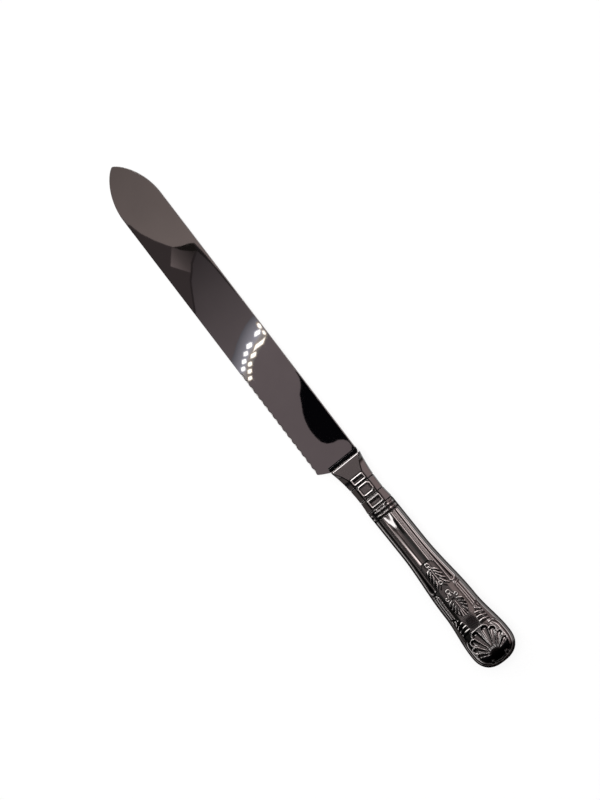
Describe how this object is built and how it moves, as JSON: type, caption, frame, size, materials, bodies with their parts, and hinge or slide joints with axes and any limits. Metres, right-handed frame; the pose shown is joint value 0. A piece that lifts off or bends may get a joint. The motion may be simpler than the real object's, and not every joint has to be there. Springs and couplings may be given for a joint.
{
  "type": "cake knife",
  "caption": "Hollow-handled cake knife: straight blade with scalloped serrations near the heel, and a stamped handle with threads, palmette and shell in relief.",
  "frame": {"origin": "middle of the handle's length, on its axis, in the seam plane between the two shells", "axes": "+X along the handle to its butt, with the blade towards -X; +Y to the blade's spine; +Z out of the front face"},
  "size_m": [0.29, 0.0254, 0.013],
  "materials": {
    "blade_steel": "stainless steel, ground lengthwise and polished",
    "handle_plate": "stamped metal with polished silver plating, darker in the hollows of the relief",
    "solder": "hard solder, filed flush and plated over",
    "cement": "matt filling cement, out of sight"
  },
  "bodies": {
    "root": {"blade": "blade_steel", "handle_front_shell": "handle_plate", "handle_back_shell": "handle_plate", "solder_seam": "solder", "cement_filling": "cement"}
  },
  "joints": []
}
